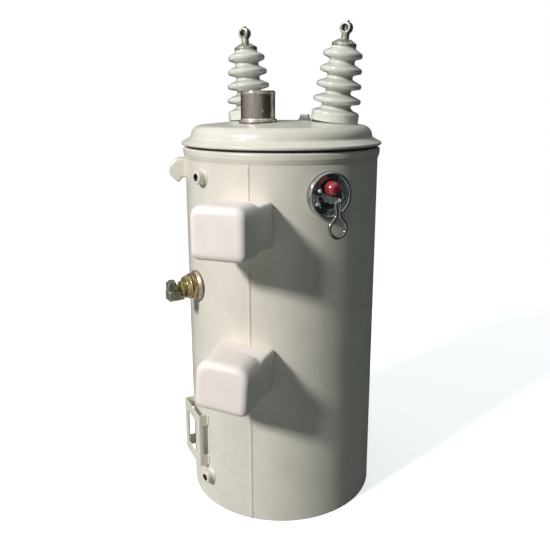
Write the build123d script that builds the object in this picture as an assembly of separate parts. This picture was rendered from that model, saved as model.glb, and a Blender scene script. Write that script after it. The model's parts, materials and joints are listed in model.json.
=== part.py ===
from build123d import *
import math
import os

# Pole mounted transformer, single phase, with two high voltage bushings on its lid.
# Millimetres, +Z up. The origin is on the tank's axis at its base, and the hanger
# brackets face -Y. Azimuth is measured on the wall from -Y towards +X.

# Tank
TANK_RADIUS = 203.2
WALL = 3.0
RIM_TOP = 764.0
RIM_HEIGHT = 21.0
RIM_BEAD = 12.0
RIM_PROUD = 3.8
RIM_FOOT_PROUD = 0.8
RIM_WIDTH = 22.0
RIM_ROUND = 4.5
BOTTOM_THICKNESS = 4.0
SEAM_AZIMUTH = 2.0
SEAM_WIDTH = 7.0
SEAM_PROUD = 1.2
TRIM = 2.0

# Lid
GASKET_HEIGHT = 5.0
GASKET_INSET = 4.0
GASKET_WIDTH = 11.0
CROWN_INSET = 12.2
FLANGE_WIDTH = 19.0
FLANGE_EDGE = 5.0
FLANGE_RISE = 10.0
FLANGE_ROUND = 2.2
CROWN_HEIGHT = 22.0
CROWN_TAPER = 3.0
CROWN_ROUND = 22.0
CROWN_FOOT_ROUND = 5.0
DOME_RISE = 11.0
LID_SHEET = 3.0

# Tap changer cap on the lid
TAP_CAP_PLACE = (-24.0, -72.0)
TAP_CAP_RADIUS = 34.5
TAP_CAP_HEIGHT = 61.5
TAP_CAP_SHEET = 1.5
TAP_CAP_ROUND = 3.0
TAP_CAP_LIP = 3.0
TAP_CAP_LIP_HEIGHT = 3.0

# Fill plug on the lid
PLUG_PLACE = (37.0, 45.0)
PLUG_SQUARE = 18.5
PLUG_HEAD_HEIGHT = 9.0
PLUG_HEAD_ROUND = 3.0
PLUG_COLLAR_RADIUS = 14.0
PLUG_COLLAR_HEIGHT = 4.0

# High voltage bushings, left then right
BUSHING_PAIR_CENTRE = (7.0, 41.0)
BUSHING_SPACING = 206.0
BUSHING_LINE_ANGLE = -10.0
BUSHING_TILTS = (4.2, 7.1)
BUSHING_GASKET_RADIUS = 47.0
BUSHING_GASKET_HEIGHT = 3.0
BUSHING_BORE_RADIUS = 24.0
BUSHING_BASE_RADIUS = 49.0
BUSHING_BASE_HEIGHT = 19.0
BUSHING_BASE_ROUND = 5.0
BUSHING_SHOULDER_RADIUS = 35.0
BUSHING_SHOULDER_RISE = 5.0
BUSHING_CORE_RADIUS = 26.0
BUSHING_NECK_RADIUS = 24.5
SHED_COUNT = 4
SHED_PITCH = 29.9
LOWEST_SHED = 45.5
TOP_SHED_RADIUS = 40.0
SHED_GROWTH = 3.0
SHED_EDGE = 8.6
SHED_EDGE_ROUND_SHARE = 0.6
SHED_ABOVE = 13.0
SHED_BELOW = 9.0
BUSHING_TOP = 151.5
BUSHING_CAP_RADIUS = 25.0
BUSHING_CAP_EDGE = 6.0
BUSHING_CAP_HEIGHT = 14.0
BUSHING_CAP_ROUND = 1.5
STEM_RADIUS = 8.0
STEM_FLARE = 4.0
EYE_RISE = 21.7
EYE_RADIUS = 12.0
EYE_BORE_RADIUS = 7.5
EYE_THICKNESS = 16.0
EYE_ROUND = 2.5
EYE_BOLT_RADIUS = 3.5
EYE_BOLT_GAP = 3.0
EYE_BOLT_ACROSS = 9.0
EYE_BOLT_HEAD_HEIGHT = 2.5

# Hanger brackets
BRACKET_SPACING = 285.75
UPPER_BRACKET_DROP = 134.0
BRACKET_WIDTH = 84.0
BRACKET_PLATE = 6.0
BRACKET_BEND = 10.0
BRACKET_REACH = 108.0
BRACKET_HEIGHT = 62.0
BRACKET_SLOT_WIDTH = 19.0
BRACKET_SLOT_DEPTH = 40.0

# Moulded covers over the brackets, upper then lower: the lower one sits askew
COVER_CLEARANCE = 0.3
COVER_REACH = 123.0
COVER_WIDTH = 110.0
COVER_TOP = 54.0
COVER_BOTTOM = 46.0
COVER_TOP_ROUNDS = (22.0, 30.0)
COVER_BOTTOM_ROUND = 15.0
COVER_FRONT_ROUND = 14.0
COVER_FRONT_THICKNESS = 9.0
COVER_DRAFT = 1.0
COVER_ROLLS = (0.0, 4.0)
SKIRT_REACH = 56.0
SKIRT_WIDTH = 110.0
SKIRT_TOP = 46.0
SKIRT_WALL_BOTTOM = 44.0
SKIRT_FRONT_BOTTOM = 36.0
SKIRT_ROUND = 7.0

# Lifting lug
LUG_AZIMUTH = -65.0
LUG_DROP = 23.0
LUG_WIDTH = 36.0
LUG_REACH = 34.0
LUG_TOP_ROUND = 16.0
LUG_NOSE_TOP = 15.0
LUG_NOSE_BOTTOM = 33.0
LUG_NOSE_ROUND = 12.0
LUG_TIP = (14.5, 54.0)
LUG_TIP_ROUND = 5.0
LUG_NOTCH = (8.0, 41.0)
LUG_EDGE_ROUND = 4.6

# Ground bosses
BOSS_AZIMUTH = -29.0
UPPER_BOSS_DROP = 51.0
LOWER_BOSS_HEIGHT = 64.0
BOSS_RADIUS = 13.5
BOSS_LENGTH = 16.0
BOSS_ROUND = 1.5
BOSS_HOLE_RADIUS = 6.35
BOSS_HOLE_DEPTH = 14.0

# Empty nameplate frame
FRAME_AZIMUTH = -44.7
FRAME_WIDTH = 99.0
FRAME_BOTTOM = 86.0
FRAME_HEIGHT = 119.0
FRAME_STANDOFF = 15.5
FRAME_SHEET = 2.5
FRAME_BEND = 4.0
FRAME_WINDOW_WIDTH = 57.0
FRAME_WINDOW_HEIGHT = 78.0
FRAME_SIDE_WINDOW_HEIGHT = 70.0
FRAME_FLANGE = 9.5

# Pressure relief valve
VALVE_AZIMUTH = 46.0
VALVE_DROP = 79.0
VALVE_RIM_RADIUS = 45.5
VALVE_RIM_DEPTH = 9.0
VALVE_RIM_ROUND = 4.5
VALVE_LIP_ROUND = 2.5
VALVE_DISH_RADIUS = 38.0
VALVE_DISH_FLOOR = 3.0
VALVE_DISH_FLAT = 25.0
VALVE_DISH_ROUND = 9.0
VALVE_CAP_LIFT = 14.0
VALVE_BODY_RADIUS = 14.0
VALVE_BODY_TOP = 8.0
VALVE_BODY_ROUND = 1.5
VALVE_CAP_RADIUS = 12.5
VALVE_CAP_HEIGHT = 15.0
VALVE_CAP_ROUND = 10.0

# Link under the valve's cap, and the pull ring that hangs on it
LINK_THICKNESS = 3.0
LINK_DROP = 8.0
LINK_REACH = 34.0
LINK_EYE_RADIUS = 6.5
LINK_ROOT_HEIGHT = 14.0
RING_WIRE = 3.2
RING_CLEARANCE = 0.6
RING_CORNER = 3.4
RING_PINCH_GAP = 0.3
RING_LEG = 9.0
RING_NECK = 17.0
RING_NECK_ROUND = 8.0
RING_SHANK = 27.0
RING_LOOP_RADIUS = 17.6
RING_LOOP_DROP = 50.0

# Side terminal, from the wall outwards
TERMINAL_AZIMUTH = -39.0
TERMINAL_HEIGHT = 486.0
STUD_RADIUS = 8.0
TERMINAL_GASKET_RADIUS = 32.0
TERMINAL_GASKET_THICKNESS = 3.0
WASHER_RADIUS = 31.0
WASHER_EDGE = 2.0
WASHER_DEPTH = 5.0
WASHER_FLAT_RADIUS = 28.0
NUT_ACROSS = 48.0
NUT_THICKNESS = 8.0
COPPER_RADIUS = 25.0
COPPER_THICKNESS = 3.0
TAPER_NUT_RADII = (24.5, 21.5)
TAPER_NUT_LENGTH = 10.0
TAPER_NUT_ROUND = 1.2
LOCK_NUT_ACROSS = 30.0
LOCK_NUT_LENGTH = 10.0
CLAMP_GAP = 2.0
CLAMP_WIDTH = 26.0
CLAMP_DEPTH = 24.0
CLAMP_BOTTOM = 20.0
CLAMP_LOWER_TOP = 4.0
CLAMP_ROUND = 6.0
CLAMP_EDGE_ROUND = 5.0
JAW_WIDTH = 18.0
JAW_SETBACK = 8.0
JAW_TOP = 15.0
JAW_GROOVE = 6.0
JAW_SPINE = 9.0
JAW_ROUND = 3.0
CLAMP_BOLT_RADIUS = 4.0
CLAMP_BOLT_INSET = 9.0
CLAMP_BOLT_ACROSS = 12.0
CLAMP_BOLT_HEAD = 3.5

# Low voltage bushings on the side away from the pole
LV_COUNT = 3
LV_MIDDLE_AZIMUTH = 180.0
LV_SPACING = 28.0
LV_HEIGHT = 590.0
LV_FLANGE_RADIUS = 30.0
LV_FLANGE_THICKNESS = 12.0
LV_CORE_RADIUS = 21.0
LV_SHED_RADIUS = 27.0
LV_SHED_START = 24.0
LV_SHED_THICKNESS = 9.0
LV_LENGTH = 56.0
LV_ROUND = 2.5
LV_STUD_RADIUS = 8.0
LV_STUD_LENGTH = 44.0
LV_NUT_ACROSS = 26.0
LV_NUT_THICKNESS = 10.0
LV_NUT_PITCH = 14.0
LV_WASHER_RADIUS = 16.0
LV_WASHER_THICKNESS = 3.0

GASKET_TOP = RIM_TOP + GASKET_HEIGHT
FLANGE_TOP = GASKET_TOP + FLANGE_EDGE + FLANGE_RISE
CROWN_TOP = FLANGE_TOP + CROWN_HEIGHT
DOME_TOP = CROWN_TOP + DOME_RISE
CROWN_FOOT_RADIUS = TANK_RADIUS - CROWN_INSET
SHOULDER_RADIUS = CROWN_FOOT_RADIUS - CROWN_TAPER
FLANGE_RADIUS = CROWN_FOOT_RADIUS + FLANGE_WIDTH
VALVE_HEIGHT = RIM_TOP - VALVE_DROP


def wall_sag(half_width):
    """How far the round wall has fallen back from its tangent plane at this distance to the side."""
    return TANK_RADIUS - math.sqrt(TANK_RADIUS**2 - half_width**2)


def root(half_width):
    """Where a piece this wide starts, behind the tangent plane, before it is cut to the wall."""
    return -wall_sag(half_width) - TRIM


def on_wall(azimuth, height):
    """A place on the tank wall: x to the right along the wall, y up, z straight out."""
    a = math.radians(azimuth)
    return Plane(
        origin=(TANK_RADIUS * math.sin(a), -TANK_RADIUS * math.cos(a), height),
        x_dir=(math.cos(a), math.sin(a), 0),
        z_dir=(math.sin(a), -math.cos(a), 0),
    ).location


def outline(corners):
    """A face from its (x, y, round) corners."""
    points = [(x, y) for x, y, _ in corners]
    return make_face(FilletPolyline(*points, radius=[r for _, _, r in corners], close=True))


def turned(corners):
    """A solid of revolution about Z from (radius, height, round) corners."""
    return revolve(Plane.XZ * outline(corners), Axis.Z)


def tube(outer, inner, height):
    return extrude(Circle(outer) - Circle(inner), height)


def hexagon(across, thickness):
    return extrude(RegularPolygon(across / 2, 6, major_radius=False), thickness)


def tank_envelope():
    """The tank as one plain cylinder, to trim what is fixed to its wall."""
    return extrude(Circle(TANK_RADIUS), RIM_TOP)


def seam_section():
    """The weld bead's circle in plan: it stands proud of the wall by a segment of the bead's width."""
    radius = ((SEAM_WIDTH / 2) ** 2 + SEAM_PROUD**2) / (2 * SEAM_PROUD)
    a = math.radians(SEAM_AZIMUTH)
    centre = TANK_RADIUS + SEAM_PROUD - radius
    return Pos(centre * math.sin(a), -centre * math.cos(a)) * Circle(radius)


def tank_wall():
    section = Circle(TANK_RADIUS) + seam_section() - Circle(TANK_RADIUS - WALL)
    return extrude(section, RIM_TOP - RIM_HEIGHT)


def tank_bottom():
    return extrude(Circle(TANK_RADIUS - WALL), BOTTOM_THICKNESS)


def tank_rim():
    outer = TANK_RADIUS + RIM_PROUD
    foot = RIM_TOP - RIM_HEIGHT
    return turned([
        (outer - RIM_WIDTH, foot, 0),
        (TANK_RADIUS + RIM_FOOT_PROUD, foot, 0),
        (outer, RIM_TOP - RIM_BEAD, RIM_ROUND),
        (outer, RIM_TOP, RIM_ROUND),
        (outer - RIM_WIDTH, RIM_TOP, 0),
    ])


def cover_gasket():
    outer = TANK_RADIUS - GASKET_INSET
    return Pos(0, 0, RIM_TOP) * tube(outer, outer - GASKET_WIDTH, GASKET_HEIGHT)


def arc_drop(r, edge):
    """How far a dome skin has fallen at radius r, where it falls by its whole rise at its edge."""
    sphere = (edge**2 + DOME_RISE**2) / (2 * DOME_RISE)
    return sphere - math.sqrt(sphere**2 - r**2)


def dome_arc(inset):
    """The lid's half outline from its middle to its shoulder, for one of its two skins."""
    edge = SHOULDER_RADIUS - inset
    top = DOME_TOP - inset
    return ThreePointArc((0, top), (edge / 2, top - arc_drop(edge / 2, edge)), (edge, top - DOME_RISE))


def tank_cover():
    outer = dome_arc(0)
    inner = dome_arc(LID_SHEET)
    foot = Polyline(
        outer @ 1,
        (CROWN_FOOT_RADIUS, FLANGE_TOP),
        (FLANGE_RADIUS, FLANGE_TOP - FLANGE_RISE),
        (FLANGE_RADIUS, GASKET_TOP),
        (CROWN_FOOT_RADIUS - LID_SHEET, GASKET_TOP),
        inner @ 1,
    )
    section = make_face(Curve([outer, foot, inner, Line(inner @ 0, outer @ 0)]))
    rounds = [
        ((SHOULDER_RADIUS, CROWN_TOP), CROWN_ROUND),
        ((SHOULDER_RADIUS - LID_SHEET, CROWN_TOP - LID_SHEET), CROWN_ROUND - LID_SHEET),
        ((CROWN_FOOT_RADIUS, FLANGE_TOP), CROWN_FOOT_ROUND),
        ((FLANGE_RADIUS, FLANGE_TOP - FLANGE_RISE), FLANGE_ROUND),
        ((FLANGE_RADIUS, GASKET_TOP), FLANGE_ROUND),
    ]
    for corner, radius in rounds:
        section = fillet(section.vertices().sort_by_distance(corner)[0], radius)
    return revolve(Plane.XZ * section, Axis.Z)


def dome_height(x, y):
    """Height of the lid's outer skin over a point."""
    return DOME_TOP - arc_drop(math.hypot(x, y), SHOULDER_RADIUS)


def on_dome(x, y):
    return Pos(x, y, dome_height(x, y))


def under_dome(raised=0.0):
    """Everything below the lid's outer skin, or below that skin raised by some height."""
    outer = dome_arc(0)
    sides = Polyline(outer @ 1, (SHOULDER_RADIUS, RIM_TOP), (0, RIM_TOP), outer @ 0)
    section = make_face(Curve([outer, sides]))
    return Pos(0, 0, raised) * revolve(Plane.XZ * section, Axis.Z)


def dome_fall(x, y, radius):
    """How far the dome falls, at most, from a point on it to the far side of a foot of this radius."""
    away = math.hypot(x, y) + radius
    return arc_drop(away, SHOULDER_RADIUS) - arc_drop(math.hypot(x, y), SHOULDER_RADIUS) + TRIM


def tap_changer_cap():
    r = TAP_CAP_RADIUS
    inner = r - TAP_CAP_SHEET
    low = -dome_fall(*TAP_CAP_PLACE, r + TAP_CAP_LIP)
    place = on_dome(*TAP_CAP_PLACE)
    cup = turned([
        (0, TAP_CAP_HEIGHT, 0),
        (r, TAP_CAP_HEIGHT, TAP_CAP_ROUND),
        (r, low, 0),
        (inner, low, 0),
        (inner, TAP_CAP_HEIGHT - TAP_CAP_SHEET, TAP_CAP_ROUND - TAP_CAP_SHEET),
        (0, TAP_CAP_HEIGHT - TAP_CAP_SHEET, 0),
    ])
    lip = Pos(0, 0, low) * tube(r + TAP_CAP_LIP, inner, TAP_CAP_HEIGHT / 2)
    lip = place * lip & under_dome(TAP_CAP_LIP_HEIGHT)
    return place * cup + lip - under_dome()


def cover_plug():
    low = -dome_fall(*PLUG_PLACE, PLUG_COLLAR_RADIUS)
    collar = Pos(0, 0, low) * extrude(Circle(PLUG_COLLAR_RADIUS), PLUG_COLLAR_HEIGHT - low)
    head = extrude(Rectangle(PLUG_SQUARE, PLUG_SQUARE), PLUG_HEAD_HEIGHT)
    head = fillet(head.edges() - head.faces().sort_by(Axis.Z)[0].edges(), PLUG_HEAD_ROUND)
    return on_dome(*PLUG_PLACE) * (collar + Pos(0, 0, PLUG_COLLAR_HEIGHT) * head) - under_dome()


def bushing_place(index):
    """Where a bushing's axis leaves the dome: index 0 is the left one and 1 the right one."""
    side = 2 * index - 1
    a = math.radians(BUSHING_LINE_ANGLE)
    half = side * BUSHING_SPACING / 2
    x = BUSHING_PAIR_CENTRE[0] + half * math.cos(a)
    y = BUSHING_PAIR_CENTRE[1] + half * math.sin(a)
    lean = Rotation(0, 0, BUSHING_LINE_ANGLE) * Rotation(0, side * BUSHING_TILTS[index], 0)
    return on_dome(x, y) * lean


def hv_gasket(index):
    """The gasket takes up the difference between the bushing's flat base and the dome."""
    foot = BUSHING_PAIR_CENTRE[0] + BUSHING_SPACING / 2
    low = -dome_fall(foot, BUSHING_PAIR_CENTRE[1], BUSHING_GASKET_RADIUS)
    ring = Pos(0, 0, low) * tube(BUSHING_GASKET_RADIUS, BUSHING_BORE_RADIUS, BUSHING_GASKET_HEIGHT - low)
    return bushing_place(index) * ring - under_dome()


def hv_porcelain(index):
    base = BUSHING_GASKET_HEIGHT
    shoulder = base + BUSHING_BASE_HEIGHT
    edge_round = SHED_EDGE_ROUND_SHARE * SHED_EDGE
    root_round = (SHED_PITCH - SHED_ABOVE - SHED_BELOW) / 2
    corners = [
        (0, base, 0),
        (BUSHING_BASE_RADIUS, base, 0),
        (BUSHING_BASE_RADIUS, shoulder, BUSHING_BASE_ROUND),
        (BUSHING_SHOULDER_RADIUS, shoulder + BUSHING_SHOULDER_RISE, BUSHING_BASE_ROUND),
    ]
    for i in range(SHED_COUNT):
        z = LOWEST_SHED + i * SHED_PITCH
        shed = TOP_SHED_RADIUS + (SHED_COUNT - 1 - i) * SHED_GROWTH
        core = BUSHING_NECK_RADIUS if i == SHED_COUNT - 1 else BUSHING_CORE_RADIUS
        corners += [
            (BUSHING_CORE_RADIUS, z - SHED_BELOW, root_round),
            (shed, z - SHED_EDGE / 2, edge_round),
            (shed, z + SHED_EDGE / 2, edge_round),
            (core, z + SHED_ABOVE, root_round),
        ]
    corners += [(BUSHING_NECK_RADIUS, BUSHING_TOP, 0), (0, BUSHING_TOP, 0)]
    return bushing_place(index) * turned(corners)


def hv_cap(index):
    cone = turned([
        (0, 0, 0),
        (BUSHING_CAP_RADIUS, 0, BUSHING_CAP_ROUND),
        (BUSHING_CAP_RADIUS, BUSHING_CAP_EDGE, BUSHING_CAP_ROUND),
        (STEM_RADIUS + STEM_FLARE, BUSHING_CAP_HEIGHT, STEM_FLARE),
        (0, BUSHING_CAP_HEIGHT, 0),
    ])
    return bushing_place(index) * Pos(0, 0, BUSHING_TOP) * cone


def eye_place(index):
    """The middle of a bushing's eye, with z along the bushing and y through the eye."""
    return bushing_place(index) * Pos(0, 0, BUSHING_TOP + BUSHING_CAP_HEIGHT + EYE_RISE)


def hv_eye(index):
    across = Rotation(90, 0, 0)
    ring = Cylinder(EYE_RADIUS, EYE_THICKNESS)
    ring = across * fillet(ring.edges(), EYE_ROUND)
    stem = Pos(0, 0, -EYE_RISE) * extrude(Circle(STEM_RADIUS), EYE_RISE)
    bore = across * Cylinder(EYE_BORE_RADIUS, EYE_THICKNESS)
    screw_hole = extrude(Circle(EYE_BOLT_RADIUS), EYE_RADIUS)
    return eye_place(index) * (ring + stem - bore - screw_hole)


def hv_bolt(index):
    """The screw that presses the line wire into the eye."""
    low = EYE_BOLT_GAP - EYE_BORE_RADIUS
    shank = Pos(0, 0, low) * extrude(Circle(EYE_BOLT_RADIUS), EYE_RADIUS - low)
    head = Pos(0, 0, EYE_RADIUS) * hexagon(EYE_BOLT_ACROSS, EYE_BOLT_HEAD_HEIGHT)
    return eye_place(index) * (shank + head)


def bracket_height(index):
    return RIM_TOP - UPPER_BRACKET_DROP - index * BRACKET_SPACING


def channel(width, reach, sheet, bend, height):
    """A bent sheet channel that is open towards the wall: x to the right, y up, z straight out."""
    half = width / 2
    back = root(half)
    section = outline([
        (-half, back, 0),
        (-half, reach, bend),
        (half, reach, bend),
        (half, back, 0),
        (half - sheet, back, 0),
        (half - sheet, reach - sheet, bend - sheet),
        (sheet - half, reach - sheet, bend - sheet),
        (sheet - half, back, 0),
    ])
    return extrude(Plane.XZ * section, height / 2, both=True)


def hanger_bracket(index):
    body = channel(BRACKET_WIDTH, BRACKET_REACH, BRACKET_PLATE, BRACKET_BEND, BRACKET_HEIGHT)
    slot_end = BRACKET_SLOT_DEPTH - BRACKET_SLOT_WIDTH / 2
    slot = Rectangle(BRACKET_SLOT_WIDTH, slot_end, align=(Align.CENTER, Align.MIN))
    slot += Pos(0, slot_end) * Circle(BRACKET_SLOT_WIDTH / 2)
    front = Pos(0, -BRACKET_HEIGHT / 2, BRACKET_REACH - BRACKET_PLATE)
    cut = front * extrude(slot, BRACKET_PLATE)
    return on_wall(0, bracket_height(index)) * (body - cut) - tank_envelope()


def cover_shell(index):
    """The cover's box, rounder at its top than at its bottom, with draft and a rounded front."""
    half = COVER_WIDTH / 2
    section = outline([
        (-half, -COVER_BOTTOM, COVER_BOTTOM_ROUND),
        (half, -COVER_BOTTOM, COVER_BOTTOM_ROUND),
        (half, COVER_TOP, COVER_TOP_ROUNDS[index]),
        (-half, COVER_TOP, COVER_TOP_ROUNDS[index]),
    ])
    box = extrude(Pos(0, 0, SKIRT_REACH) * section, COVER_REACH - SKIRT_REACH, taper=COVER_DRAFT)
    return fillet(box.faces().sort_by(Axis.Z)[-1].edges(), COVER_FRONT_ROUND)


def cover_skirt():
    """The skirt between the box and the wall: its underside slants down towards the wall."""
    side = outline([
        (SKIRT_TOP, root(SKIRT_WIDTH / 2), 0),
        (SKIRT_TOP, SKIRT_REACH, 0),
        (-SKIRT_FRONT_BOTTOM, SKIRT_REACH, 0),
        (-SKIRT_WALL_BOTTOM, root(SKIRT_WIDTH / 2), 0),
    ])
    skirt = extrude(Plane.YZ * side, SKIRT_WIDTH / 2, both=True)
    return fillet(skirt.edges().filter_by(Axis.Z).sort_by(Axis.Y)[-2:], SKIRT_ROUND)


def bracket_cover(index):
    width = BRACKET_WIDTH + 2 * COVER_CLEARANCE
    height = BRACKET_HEIGHT + 2 * COVER_CLEARANCE
    back = root(width / 2)
    depth = COVER_REACH - COVER_FRONT_THICKNESS - back
    cavity = Pos(0, 0, back) * extrude(Rectangle(width, height), depth)
    place = on_wall(0, bracket_height(index))
    moulding = Rotation(0, 0, -COVER_ROLLS[index]) * (cover_shell(index) + cover_skirt())
    cover = place * (moulding - cavity)
    return cover - tank_envelope() - extrude(seam_section(), RIM_TOP)


def lifting_lug():
    back = root(LUG_WIDTH / 2)
    side = outline([
        (0, back, 0),
        (0, LUG_REACH / 2, LUG_TOP_ROUND),
        (-LUG_NOSE_TOP, LUG_REACH, LUG_NOSE_ROUND),
        (-LUG_NOSE_BOTTOM, LUG_REACH, LUG_NOSE_ROUND),
        (-LUG_TIP[1], LUG_TIP[0], LUG_TIP_ROUND),
        (-LUG_NOTCH[1], LUG_NOTCH[0], LUG_TIP_ROUND),
        (-LUG_NOTCH[1], back, 0),
    ])
    lug = extrude(Plane.YZ * side, LUG_WIDTH / 2, both=True)
    sides = lug.faces().filter_by(Axis.X).edges()
    lug = fillet(sides - lug.faces().sort_by(Axis.Z)[0].edges(), LUG_EDGE_ROUND)
    return on_wall(LUG_AZIMUTH, RIM_TOP - LUG_DROP) * lug - tank_envelope()


def ground_boss(height):
    boss = turned([
        (0, root(BOSS_RADIUS), 0),
        (BOSS_RADIUS, root(BOSS_RADIUS), 0),
        (BOSS_RADIUS, BOSS_LENGTH, BOSS_ROUND),
        (BOSS_HOLE_RADIUS, BOSS_LENGTH, 0),
        (BOSS_HOLE_RADIUS, BOSS_LENGTH - BOSS_HOLE_DEPTH, 0),
        (0, BOSS_LENGTH - BOSS_HOLE_DEPTH, 0),
    ])
    return on_wall(BOSS_AZIMUTH, height) * boss - tank_envelope()


def nameplate_frame():
    body = channel(FRAME_WIDTH, FRAME_STANDOFF, FRAME_SHEET, FRAME_BEND, FRAME_HEIGHT)
    window = Box(FRAME_WINDOW_WIDTH, FRAME_WINDOW_HEIGHT, 2 * FRAME_STANDOFF)
    back = root(FRAME_WIDTH / 2)
    side_window_depth = FRAME_STANDOFF - FRAME_FLANGE - back
    side_window = extrude(Rectangle(2 * FRAME_WIDTH, FRAME_SIDE_WINDOW_HEIGHT), side_window_depth)
    place = on_wall(FRAME_AZIMUTH, FRAME_BOTTOM + FRAME_HEIGHT / 2)
    body -= Pos(0, 0, FRAME_STANDOFF) * window + Pos(0, 0, back) * side_window
    return place * body - tank_envelope()


def on_valve(shape):
    return on_wall(VALVE_AZIMUTH, VALVE_HEIGHT) * shape


def valve_rim():
    back = root(VALVE_RIM_RADIUS)
    ring = turned([
        (VALVE_DISH_RADIUS, back, 0),
        (VALVE_DISH_RADIUS, VALVE_RIM_DEPTH, VALVE_LIP_ROUND),
        (VALVE_RIM_RADIUS, VALVE_RIM_DEPTH, VALVE_RIM_ROUND),
        (VALVE_RIM_RADIUS, back, 0),
    ])
    return on_valve(ring) - tank_envelope()


def valve_dish():
    back = root(VALVE_DISH_RADIUS)
    bowl = turned([
        (0, back, 0),
        (0, VALVE_DISH_FLOOR, 0),
        (VALVE_DISH_FLAT, VALVE_DISH_FLOOR, VALVE_DISH_ROUND),
        (VALVE_DISH_RADIUS, VALVE_RIM_DEPTH - VALVE_LIP_ROUND, 0),
        (VALVE_DISH_RADIUS, back, 0),
    ])
    return on_valve(bowl - valve_collar()) - tank_envelope()


def valve_collar():
    """The valve body where it stands out of the bowl, above the bowl's middle."""
    collar = turned([
        (0, VALVE_DISH_FLOOR, 0),
        (VALVE_BODY_RADIUS, VALVE_DISH_FLOOR, 0),
        (VALVE_BODY_RADIUS, VALVE_BODY_TOP, VALVE_BODY_ROUND),
        (0, VALVE_BODY_TOP, 0),
    ])
    return Pos(0, VALVE_CAP_LIFT, 0) * collar


def valve_cap():
    cap = turned([
        (0, 0, 0),
        (VALVE_CAP_RADIUS, 0, 0),
        (VALVE_CAP_RADIUS, VALVE_CAP_HEIGHT, VALVE_CAP_ROUND),
        (0, VALVE_CAP_HEIGHT, 0),
    ])
    return on_valve(Pos(0, VALVE_CAP_LIFT, VALVE_BODY_TOP) * cap)


def valve_link():
    """A plate that stands on the bowl below the valve body, with an eye for the pull ring."""
    arm = outline([
        (-LINK_DROP + LINK_ROOT_HEIGHT / 2, VALVE_DISH_FLOOR, 0),
        (-LINK_DROP + LINK_EYE_RADIUS, LINK_REACH, 0),
        (-LINK_DROP - LINK_EYE_RADIUS, LINK_REACH, 0),
        (-LINK_DROP - LINK_ROOT_HEIGHT / 2, VALVE_DISH_FLOOR, 0),
    ])
    eye = Pos(-LINK_DROP, LINK_REACH)
    plate = arm + eye * Circle(LINK_EYE_RADIUS) - eye * Circle(RING_WIRE + RING_CLEARANCE)
    link = extrude(Plane.YZ * plate, LINK_THICKNESS / 2, both=True)
    return on_valve(link - valve_collar())


def ring_line():
    """The pull ring's centreline, from its pin at the origin down a pinched shank to its loop."""
    pin = LINK_THICKNESS / 2 + RING_CLEARANCE + RING_WIRE
    shank = RING_WIRE + RING_PINCH_GAP
    below = RING_LOOP_DROP - RING_SHANK
    away = math.hypot(shank, below)
    a = math.atan2(below, shank) - math.acos(RING_LOOP_RADIUS / away)
    side = [
        (RING_LOOP_RADIUS * math.cos(a), RING_LOOP_RADIUS * math.sin(a) - RING_LOOP_DROP),
        (shank, -RING_SHANK),
        (shank, -RING_NECK),
        (pin, -RING_LEG),
        (pin, 0),
    ]
    other_side = [(-x, y) for x, y in reversed(side)]
    rounds = [RING_NECK_ROUND, RING_NECK_ROUND, RING_NECK_ROUND, RING_CORNER]
    upper = FilletPolyline(*side, *other_side, radius=rounds + rounds[::-1])
    loop = ThreePointArc(upper @ 1, (0, -RING_LOOP_DROP - RING_LOOP_RADIUS), upper @ 0)
    return Wire(upper.edges() + loop.edges())


def pull_ring():
    line = ring_line()
    wire = sweep(Plane(origin=line @ 0, z_dir=line % 0) * Circle(RING_WIRE), path=line)
    return on_valve(Pos(0, -LINK_DROP, LINK_REACH) * wire)


def on_terminal(shape):
    return on_wall(TERMINAL_AZIMUTH, TERMINAL_HEIGHT) * shape


def terminal_clamp(start, stud):
    """The line clamp at the stud's end: a broad lower jaw, and a narrower upper jaw on a spine."""
    end = start + CLAMP_DEPTH
    lower = outline([
        (-CLAMP_BOTTOM, start, CLAMP_ROUND),
        (-CLAMP_LOWER_TOP, start, 0),
        (-CLAMP_LOWER_TOP, end, 0),
        (-CLAMP_BOTTOM, end, CLAMP_ROUND),
    ])
    upper = outline([
        (-CLAMP_LOWER_TOP, end, 0),
        (JAW_TOP, end, JAW_ROUND),
        (JAW_TOP, start + JAW_SETBACK, JAW_ROUND),
        (JAW_GROOVE - CLAMP_LOWER_TOP, start + JAW_SETBACK, 0),
        (JAW_GROOVE - CLAMP_LOWER_TOP, end - JAW_SPINE, 0),
        (-CLAMP_LOWER_TOP, end - JAW_SPINE, 0),
    ])
    body = extrude(Plane.YZ * lower, CLAMP_WIDTH / 2, both=True)
    sides = body.faces().filter_by(Axis.X).edges()
    body = fillet(sides - body.faces().sort_by(Axis.Y)[-1].edges(), CLAMP_EDGE_ROUND)
    body += extrude(Plane.YZ * upper, JAW_WIDTH / 2, both=True)
    bolt = clamp_bolt_place(end) * extrude(Circle(CLAMP_BOLT_RADIUS), JAW_TOP + CLAMP_BOTTOM)
    return body - stud - bolt


def clamp_bolt_place(end):
    """The foot of the clamp bolt, with z up through both jaws."""
    return Pos(0, -CLAMP_BOTTOM, end - CLAMP_BOLT_INSET) * Rotation(-90, 0, 0)


def clamp_bolt(end):
    height = JAW_TOP + CLAMP_BOTTOM
    shank = extrude(Circle(CLAMP_BOLT_RADIUS), height)
    head = Pos(0, 0, height) * hexagon(CLAMP_BOLT_ACROSS, CLAMP_BOLT_HEAD)
    return clamp_bolt_place(end) * (shank + head)


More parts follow.
